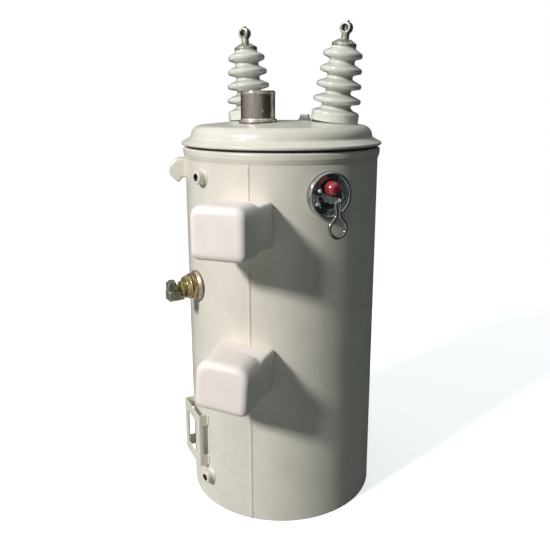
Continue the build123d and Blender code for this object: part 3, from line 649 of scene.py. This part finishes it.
def finish_copies(pattern, places, finish, soften=0.25, smooth=40):
    """Copies a pattern to each named place, each copy with its own mesh, and removes the pattern."""
    copies = {}
    for name, place in places.items():
        copies[name] = bpy.data.objects.new(name, pattern.data.copy())
        bpy.context.scene.collection.objects.link(copies[name])
        finish_piece(copies[name], place, finish, soften, smooth)
    bpy.data.objects.remove(pattern, do_unlink=True)
    return copies


def shifted(x, y, z):
    """A move by this many mm."""
    return Matrix.Translation(Vector((x, y, z)) * MM)


def facing_out(azimuth):
    """A turn that sets z straight out from the tank's axis, x to the right of it and y up."""
    a = math.radians(azimuth)
    out = Vector((math.sin(a), -math.cos(a), 0))
    right = Vector((math.cos(a), math.sin(a), 0))
    return Matrix((right, Vector((0, 0, 1)), out)).transposed().to_4x4()


def on_wall(azimuth, height, standoff=0.0):
    """A place on the tank wall: x to the right along the wall, y up, z straight out."""
    return shifted(0, 0, height) @ facing_out(azimuth) @ shifted(0, 0, TANK_RADIUS + standoff)


def dome_height(x, y):
    """The height of the lid's dome over a point."""
    return DOME_TOP - DOME_SPHERE + math.sqrt(DOME_SPHERE**2 - x**2 - y**2)


def bushing_place(side):
    """Where a bushing leaves the lid, leaned as the bushing is: side is -1 for the left one, or 1."""
    line = Matrix.Rotation(math.radians(BUSHING_LINE_ANGLE), 4, "Z")
    foot = Vector((*BUSHING_PAIR_CENTRE, 0)) + line @ Vector((side * BUSHING_SPACING / 2, 0, 0))
    lean = Matrix.Rotation(math.radians(side * BUSHING_TILTS[side]), 4, "Y")
    return shifted(foot.x, foot.y, dome_height(foot.x, foot.y)) @ line @ lean


def build_terminal_stack(finishes):
    """The side terminal's gasket and dished washer, and its two chamfered nuts."""
    wall = on_wall(TERMINAL_AZIMUTH, TERMINAL_HEIGHT)
    brass = finishes["yellow_brass"]
    nut = hexagonal("terminal_nut_chamfered", 48.0, 8.0, STUD_RADIUS)
    finish_piece(nut, wall @ shifted(0, 0, TERMINAL_NUT_FOOT), brass)
    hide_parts("terminal_nut")
    washer = turned_piece("terminal_cup_washer", rounded([
        (STUD_RADIUS, 0.3, 0), (31.6, 0.3, 0.4), (31.6, 3.0, 1.0), (28.0, 8.0, 1.4), (STUD_RADIUS, 8.0, 0)
    ], 4), steps=96)
    finish_piece(washer, wall, finishes["paled_brass"], soften=0, smooth=50)
    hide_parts("terminal_washer")
    gasket = turned_piece("terminal_cut_gasket", rounded([
        (STUD_RADIUS, -2.6, 0), (31.8, -2.6, 0), (31.8, 0.5, 0.5), (STUD_RADIUS, 0.5, 0)
    ], 3), steps=96)
    finish_piece(gasket, wall, finishes["gasket_rubber"], soften=0, smooth=50)
    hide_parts("terminal_gasket")
    lock = hexagonal("terminal_lock_nut_chamfered", 25.0, 10.0, STUD_RADIUS)
    finish_piece(lock, wall @ shifted(0, 0, LOCK_NUT_FOOT), brass)
    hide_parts("terminal_lock_nut")


def build_taper_nut(finishes):
    """The side terminal's tapered nut, with a groove and a knurl round its foot."""
    nut = turned_piece("terminal_taper_nut_knurled", rounded([
        (STUD_RADIUS, 0, 0), (24.5, 0, 0.8), (24.2, 1.6, 0.3), (23.4, 2.2, 0.3), (24.1, 3.0, 0.3),
        (22.0, 8.6, 1.0), (21.5, 10.0, 0.8), (STUD_RADIUS, 10.0, 0)
    ], 3), steps=KNURL_COLUMNS)
    select_points(nut, lambda place: column(place, KNURL_COLUMNS) % 2 == 1
                  and place.xy.length > 21.9 and 2.4 < place.z < 8.8)
    bpy.ops.transform.resize(value=(0.972, 0.972, 1.0), center_override=(0, 0, 0))
    bpy.ops.object.mode_set(mode="OBJECT")
    place = on_wall(TERMINAL_AZIMUTH, TERMINAL_HEIGHT, TAPER_NUT_FOOT)
    finish_piece(nut, place, finishes["yellow_brass"], soften=0, smooth=30)
    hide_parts("terminal_taper_nut")


def build_terminal_stud(finishes):
    """The side terminal's threaded stud, which runs from the tank wall into the clamp."""
    stud = turned_piece("terminal_stud_threaded", [
        (0, 3), (7.9, 3), *thread(7.9, 12, 47.5, STUD_THREAD_PITCH), (7.0, 48.6), (0, 48.9)
    ], steps=40)
    place = on_wall(TERMINAL_AZIMUTH, TERMINAL_HEIGHT)
    finish_piece(stud, place, finishes["yellow_brass"], soften=0, smooth=25)
    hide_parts("terminal_stud")


def build_clamp(finishes):
    """The cast line clamp at the stud's end, and the threaded bolt through its jaws."""
    wall = on_wall(TERMINAL_AZIMUTH, TERMINAL_HEIGHT)
    clamp = block((-13, 13), (-22.5, -4), (41, 65))
    for sides in (((-12.5, 12.5), (-22.5, -14.2), (33, 45)), ((-9, 9), (-5, 3), (55, 65)),
                  ((-9, 9), (1.5, 15), (48.5, 65)), ((-5, 5), (-24, -20), (45, 61))):
        join_pieces(clamp, block(*sides))
    clamp.name = "terminal_clamp_cast"
    even_skin(clamp, 0.8, 9)
    finish_piece(clamp, wall, finishes["dulled_tin"], soften=0, smooth=180)
    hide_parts("terminal_clamp")
    bolt = turned_piece("terminal_clamp_bolt_threaded", [
        (0, -0.4), (3.2, -0.4), *thread(3.9, 0.2, 20, SCREW_THREAD_PITCH), (3.9, 20.4), (3.9, 35), (0, 35)
    ], steps=32)
    head = hexagonal("clamp_bolt_head", 12.0, 3.5, 0)
    set_in(head, shifted(0, 0, 35))
    join_pieces(bolt, head)
    upright = Matrix.Rotation(math.radians(-90), 4, "X")
    place = wall @ shifted(0, -CLAMP_BOLT_DROP, CLAMP_BOLT_STANDOFF) @ upright
    finish_piece(bolt, place, finishes["dulled_tin"], soften=0.15)
    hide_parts("terminal_clamp_bolt")


def build_low_voltage_studs(finishes):
    """Each low voltage terminal as a threaded stud with a washer and two chamfered nuts."""
    pattern = turned_piece("lv_stud_pattern", [
        (0, 0), (16, 0), (16, 2.4), (15.4, 3), (7.0, 3), *thread(STUD_RADIUS, 3.2, 42.5, STUD_THREAD_PITCH),
        (6.8, 43.8), (0, 44)
    ], steps=40)
    for foot in (3.0, 17.0):
        nut = hexagonal("lv_nut", 26.0, 10.0, 7.0)
        set_in(nut, shifted(0, 0, foot))
        join_pieces(pattern, nut)
    places = {f"lv_stud_{i + 1}": on_wall(azimuth, LV_HEIGHT, LV_LENGTH)
              for i, azimuth in enumerate(LV_AZIMUTHS)}
    studs = finish_copies(pattern, places, finishes["tinned_bronze"], soften=0, smooth=25)
    for name, stud in studs.items():
        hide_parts(name.replace("stud", "terminal"))


def build_eye_screws(finishes):
    """The threaded screws that press the line wires into the two eyes."""
    pattern = turned_piece("hv_screw_pattern", [
        (0, -4.5), (2.6, -4.5), *thread(3.45, -4.2, 11.9, SCREW_THREAD_PITCH), (3.4, 12), (0, 12)
    ], steps=32)
    head = hexagonal("hv_screw_head", 9.0, 2.5, 0)
    set_in(head, shifted(0, 0, 12))
    join_pieces(pattern, head)
    places = {f"hv_eye_screw_{name}": bushing_place(side) @ shifted(0, 0, EYE_HEIGHT)
              for name, side in (("left", -1), ("right", 1))}
    screws = finish_copies(pattern, places, finishes["tinned_bronze"], soften=0.12)
    for name, screw in screws.items():
        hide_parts(name.replace("eye_screw", "bolt"))


def build_bosses(finishes):
    """Each ground boss with a broken edge and an oiled thread cut in its hole, whose faces are painted near
    black, partly as painted shade.
    """
    floor = BOSS_LENGTH - BOSS_HOLE_DEPTH
    pattern = turned_piece("boss_pattern", [
        (0, -2.4),
        *rounded([(BOSS_RADIUS, -2.4, 0), (BOSS_RADIUS, BOSS_LENGTH, 1.6),
                  (BOSS_HOLE_RADIUS + 1.2, BOSS_LENGTH, 0)], 4),
        *thread(BOSS_HOLE_RADIUS + 1.0, BOSS_LENGTH - 1.2, floor + 0.4, BOSS_THREAD_PITCH),
        (0, floor)
    ], steps=56)
    in_hole = [face.center.to_2d().length < (BOSS_HOLE_RADIUS + 1.05) * MM
               and 0 < face.center.z < (BOSS_LENGTH - 0.5) * MM for face in pattern.data.polygons]
    places = {f"{name}_boss_tapped": on_wall(BOSS_AZIMUTH, height) for name, height in BOSS_HEIGHTS.items()}
    bosses = finish_copies(pattern, places, finishes["tank_paint"], soften=0, smooth=30)
    # The hole's faces take the near black finish: oiled steel, and painted shade in the hole.
    for name, boss in bosses.items():
        boss.data.materials.append(finishes["oiled_steel_and_painted_shade"])
        for face, inside in zip(boss.data.polygons, in_hole):
            face.material_index = int(inside)
        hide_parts(name.replace("boss_tapped", "ground_boss"))


def build_seam(finishes):
    """The flattened weld bead down the tank's rolled wall."""
    seam = turned_piece("seam_bead", bead_outline(TANK_WALL_TOP, SEAM_HALF_WIDTH, 0.22, 5.0), steps=24)
    set_in(seam, Matrix.Diagonal((1.0, 0.38, 1.0, 1.0)))
    a = math.radians(SEAM_AZIMUTH)
    foot = TANK_RADIUS + 0.1
    place = shifted(foot * math.sin(a), -foot * math.cos(a), 0) @ Matrix.Rotation(a, 4, "Z")
    finish_piece(seam, place, finishes["tank_paint"], soften=0, smooth=60)


def build_boss_welds(finishes):
    """The ring of weld round each ground boss, swollen every few columns by a drop of weld metal."""
    columns = 72
    pattern = turned_piece("boss_weld_pattern", rounded([
        (BOSS_RADIUS - 1.5, -2.0, 0), (BOSS_RADIUS + 3.4, -2.0, 0), (BOSS_RADIUS + 3.0, 0.6, 1.0),
        (BOSS_RADIUS + 0.4, 3.2, 1.2), (BOSS_RADIUS - 1.5, 3.4, 0)
    ], 4), steps=columns)
    select_points(pattern, lambda place: column(place, columns) % 3 == 0)
    bpy.ops.transform.resize(value=(1.025, 1.025, 1.06), center_override=(0, 0, 0))
    bpy.ops.object.mode_set(mode="OBJECT")
    places = {f"{name}_boss_weld": on_wall(BOSS_AZIMUTH, height) for name, height in BOSS_HEIGHTS.items()}
    finish_copies(pattern, places, finishes["tank_paint"], soften=0, smooth=60)


def build_straight_welds(finishes):
    """The upright weld beads beside the lifting lug and beside the nameplate frame's four tabs."""
    upright = Matrix.Rotation(math.radians(-90), 4, "X")
    lug = on_wall(LUG_AZIMUTH, LUG_TOP)
    lug_places = {f"lug_weld_{side + 2}": lug @ shifted(side * LUG_WIDTH / 2, -LUG_HEIGHT, -0.6) @ upright
                  for side in (-1, 1)}
    sag = TANK_RADIUS - math.sqrt(TANK_RADIUS**2 - FRAME_HALF_WIDTH**2)
    wall = on_wall(FRAME_AZIMUTH, 0)
    frame_places = {
        f"frame_weld_{level}_{side + 2}":
            wall @ shifted(side * (FRAME_HALF_WIDTH + 0.6), foot + 1, 0.4 - sag) @ upright
        for side in (-1, 1) for level, foot in (("low", FRAME_BOTTOM), ("high", FRAME_TOP - FRAME_TAB))
    }
    for places, length in ((lug_places, LUG_HEIGHT - 2), (frame_places, FRAME_TAB - 2)):
        pattern = turned_piece("bead_pattern", bead_outline(length, BEAD_RADIUS, 0.35, 3.6), steps=20)
        finish_copies(pattern, places, finishes["tank_paint"], soften=0, smooth=60)


def build_valve(finishes):
    """The valve bowl's pressed ridge, its domed red cap and the slotted screws that hold it."""
    wall = on_wall(VALVE_AZIMUTH, VALVE_HEIGHT)
    ridge = turned_piece("valve_bowl_ridge", rounded([
        (28.5, VALVE_FLOOR - 0.5, 0), (29.5, VALVE_FLOOR + 1.6, 0.8), (33.0, VALVE_FLOOR + 2.4, 1.2),
        (34.5, VALVE_FLOOR - 0.5, 0)
    ], 5), steps=96)
    # The ridge takes the bowl's chrome, darkened as painted shade.
    finish_piece(ridge, wall, finishes["bowl_chrome_painted_shade"], soften=0, smooth=60)
    cap = turned_piece("valve_cap_domed", rounded([
        (0, 0, 0), (14.2, 0, 0.8), (14.2, 3.0, 0.8), (13.6, 3.6, 0.5), (13.6, 17.4, 10.5), (0, 17.4, 0)
    ], 8), steps=72)
    finish_piece(cap, wall @ shifted(0, VALVE_CAP_UP, VALVE_CAP_FOOT), finishes["red_plastic"],
                 soften=0, smooth=50)
    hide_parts("valve_cap")
    pattern = turned_piece("valve_screw_pattern", rounded([
        (0, 0, 0), (4.3, 0, 0), (4.3, 4.6, 3.4), (0, 4.6, 0)
    ], 6), steps=32)
    cut_slot(pattern, 1.0, 1.2, 4.6)
    places = {}
    for i, (x, y) in enumerate(VALVE_SCREWS):
        turn = Matrix.Rotation(math.radians(i * VALVE_SCREW_TURN), 4, "Z")
        places[f"valve_screw_{i + 1}"] = wall @ shifted(x, y, VALVE_FLOOR + 0.4) @ turn
    finish_copies(pattern, places, finishes["zinc_plate"], soften=0.12)


def build_tap_cap_trim(finishes):
    """The tap changer cap's rolled bead and lip, painted lighter as a painted highlight, the gasket under
    it and the rivet in its side.
    """
    x, y = TAP_CAP_PLACE
    r = TAP_CAP_RADIUS
    foot = shifted(x, y, dome_height(x, y))
    # The bead and the lip are painted lighter than the cup, a painted highlight.
    bright = finishes["aluminium_painted_highlight"]
    bead = turned_piece("tap_cap_bead", rounded([
        (r - 1.0, 54.0, 0), (r + 1.1, 54.6, 0.9), (r + 1.1, 57.4, 0.9), (r - 1.0, 58.0, 0)
    ], 4), steps=96)
    finish_piece(bead, foot, bright, soften=0, smooth=60)
    on_dome = foot @ Vector((0, 0, 1)).rotation_difference(Vector((x, y, DOME_SPHERE))).to_matrix().to_4x4()
    lip = turned_piece("tap_cap_lip", rounded([
        (r - 0.6, 1.2, 0), (r + 4.0, 1.2, 0.8), (r + 4.0, 4.2, 1.4), (r + 1.2, 5.2, 1.0), (r - 0.6, 9.0, 0)
    ], 4), steps=96)
    finish_piece(lip, on_dome, bright, soften=0, smooth=60)
    gasket = turned_piece("tap_cap_gasket", rounded([
        (r - 0.6, -2.0, 0), (r + 4.3, -2.0, 0), (r + 4.3, 1.4, 0.5), (r - 0.6, 1.4, 0)
    ], 3), steps=96)
    finish_piece(gasket, on_dome, finishes["gasket_rubber"], soften=0, smooth=60)
    rivet = turned_piece("tap_cap_rivet", rounded([
        (0, -0.6, 0), (2.4, -0.6, 0), (2.4, 0.5, 0.5), (0, 1.5, 0)
    ], 4), steps=28)
    place = foot @ facing_out(RIVET_AZIMUTH) @ shifted(0, RIVET_HEIGHT, r)
    finish_piece(rivet, place, finishes["dull_aluminium"], soften=0)


def build_mouldings(finishes):
    """The soft-edged bracket covers and the cast lifting lug."""
    for name in ("upper", "lower"):
        cover = moulded_copy(f"{name}_cover_moulded", f"{name}_bracket_cover", 2.0, 26)
        finish_piece(cover, Matrix(), finishes["bracket_cover_white"],
                     soften=0, smooth=180)
    lug = moulded_copy("lifting_lug_cast", "lifting_lug", 1.0, 20)
    finish_piece(lug, Matrix(), finishes["tank_paint"], soften=0, smooth=180)


def place_camera():
    """The camera that took the photograph."""
    a = math.radians(CAMERA_AZIMUTH)
    lens = bpy.data.cameras.new("photo_view")
    lens.sensor_width = SENSOR_WIDTH
    lens.lens = LENS_PIXELS / PICTURE_SIDE * SENSOR_WIDTH
    lens.shift_x = 0.5 - LENS_CENTRE[0] / PICTURE_SIDE
    lens.shift_y = LENS_CENTRE[1] / PICTURE_SIDE - 0.5
    camera = bpy.data.objects.new("photo_view", lens)
    camera.location = (CAMERA_DISTANCE * math.sin(a), -CAMERA_DISTANCE * math.cos(a), CAMERA_HEIGHT)
    camera.rotation_euler = (math.radians(90 - CAMERA_PITCH), 0, a)
    bpy.context.scene.collection.objects.link(camera)
    bpy.context.scene.camera = camera


def towards(azimuth, rise):
    """The direction at this azimuth and this rise."""
    a = math.radians(azimuth)
    e = math.radians(rise)
    return Vector((math.sin(a) * math.cos(e), -math.cos(a) * math.cos(e), math.sin(e)))


def hang_lamp(name, azimuth, rise, side, power, colour):
    """A square soft lamp that faces the tank's middle, so far off that it lights foot and top alike."""
    centre = Vector((0, 0, DOME_TOP / 2)) * MM
    lamp = bpy.data.lights.new(name, "AREA")
    lamp.size = side
    lamp.energy = power
    lamp.color = colour
    holder = bpy.data.objects.new(name, lamp)
    holder.location = centre + towards(azimuth, rise) * LAMP_DISTANCE
    holder.rotation_euler = (centre - holder.location).to_track_quat("-Z", "Y").to_euler()
    bpy.context.scene.collection.objects.link(holder)
    return holder


def seen_directly(tree):
    """1 for rays from the camera, a mirror or clear glass, which see the background as it is painted."""
    path = add(tree, "ShaderNodeLightPath")
    either = add(tree, "ShaderNodeMath", {
        0: path.outputs["Is Camera Ray"], 1: path.outputs["Is Glossy Ray"]
    }, operation="MAXIMUM")
    return add(tree, "ShaderNodeMath", {
        0: either.outputs[0], 1: path.outputs["Is Transmission Ray"]
    }, operation="MAXIMUM").outputs[0]


def room_light(tree, direction):
    """How bright the room is to a mirror: white overhead and towards the key lamp, dark away from it."""
    facing = add(tree, "ShaderNodeVectorMath", {
        0: direction, 1: towards(KEY_AZIMUTH, MIRROR_RISE)
    }, operation="DOT_PRODUCT").outputs["Value"]
    return add(tree, "ShaderNodeMapRange", {
        "Value": facing, "From Min": MIRROR_SPAN[0], "From Max": MIRROR_SPAN[1], "To Min": MIRROR_DARK
    }).outputs["Result"]


def light_world():
    """A white background to the camera, a half-dark room to mirrors, and for the rest an overhead sky."""
    world = bpy.data.worlds.new("studio")
    bpy.context.scene.world = world
    world.use_nodes = True
    tree = world.node_tree
    light = tree.nodes["Background"]
    direction = add(tree, "ShaderNodeTexCoord").outputs["Generated"]
    mirrored = add(tree, "ShaderNodeLightPath").outputs["Is Glossy Ray"]
    shown = add(tree, "ShaderNodeMix", {0: mirrored, 2: 1.0, 3: room_light(tree, direction)},
                data_type="FLOAT")
    direct = seen_directly(tree)
    height = add(tree, "ShaderNodeSeparateXYZ", {0: direction}).outputs["Z"]
    sky = add(tree, "ShaderNodeMapRange", {"Value": height, "From Min": SKY_FROM, "To Max": SKY_POWER})
    strength = add(tree, "ShaderNodeMix", {0: direct, 2: sky.outputs["Result"], 3: shown.outputs[0]},
                   data_type="FLOAT")
    colour = add(tree, "ShaderNodeMix", {0: direct, 6: (*SKY_COLOUR, 1), 7: (1, 1, 1, 1)}, data_type="RGBA")
    tree.links.new(strength.outputs[0], light.inputs["Strength"])
    tree.links.new(colour.outputs[2], light.inputs["Color"])


def lay_floor():
    """A pale floor that keeps the shadow near the tank, fades to white, and bounces a little grey light."""
    bpy.ops.mesh.primitive_plane_add(size=FLOOR_SIDE, location=(0, 0, 0))
    floor = bpy.context.object
    floor.name = "studio_floor"
    material = bpy.data.materials.new("pale_studio_floor")
    material.use_nodes = True
    tree = material.node_tree
    tree.nodes.clear()
    matt = add(tree, "ShaderNodeBsdfDiffuse", {"Color": linear(FLOOR_COLOUR)})
    bounce = add(tree, "ShaderNodeBsdfDiffuse", {"Color": linear(FLOOR_BOUNCE)})
    lift = add(tree, "ShaderNodeEmission", {"Strength": FLOOR_LIFT})
    lifted = add(tree, "ShaderNodeAddShader", {0: matt.outputs[0], 1: lift.outputs[0]})
    white = add(tree, "ShaderNodeEmission", {"Strength": 1.0})
    place = add(tree, "ShaderNodeTexCoord").outputs["Object"]
    away = add(tree, "ShaderNodeVectorMath", {0: place}, operation="LENGTH").outputs["Value"]
    fade = add(tree, "ShaderNodeMapRange", {
        "Value": away, "From Min": FLOOR_SHADOW_REACH[0], "From Max": FLOOR_SHADOW_REACH[1]
    }).outputs["Result"]
    painted = add(tree, "ShaderNodeMixShader", {0: fade, 1: lifted.outputs[0], 2: white.outputs[0]})
    direction = add(tree, "ShaderNodeVectorMath", {0: place}, operation="NORMALIZE").outputs["Vector"]
    mirrored = add(tree, "ShaderNodeEmission", {"Strength": room_light(tree, direction)})
    glossy = add(tree, "ShaderNodeLightPath").outputs["Is Glossy Ray"]
    shown = add(tree, "ShaderNodeMixShader", {0: glossy, 1: painted.outputs[0], 2: mirrored.outputs[0]})
    seen = add(tree, "ShaderNodeMixShader", {
        0: seen_directly(tree), 1: bounce.outputs[0], 2: shown.outputs[0]
    })
    add(tree, "ShaderNodeOutputMaterial", {"Surface": seen.outputs[0]})
    floor.data.materials.append(material)


finishes = make_finishes()
dress_nodes(finishes)
build_terminal_stack(finishes)
build_taper_nut(finishes)
build_terminal_stud(finishes)
build_clamp(finishes)
build_low_voltage_studs(finishes)
build_eye_screws(finishes)
build_bosses(finishes)
build_seam(finishes)
build_boss_welds(finishes)
build_straight_welds(finishes)
build_valve(finishes)
build_tap_cap_trim(finishes)
build_mouldings(finishes)

place_camera()
hang_lamp("key_lamp", KEY_AZIMUTH, KEY_RISE, KEY_SIDE, KEY_POWER, KEY_COLOUR)
back_lamp = hang_lamp("back_lamp", BACK_AZIMUTH, BACK_RISE, BACK_SIDE, BACK_POWER, SKY_COLOUR)
back_lamp.visible_glossy = False
light_world()
lay_floor()
bpy.context.scene.view_settings.view_transform = "Standard"
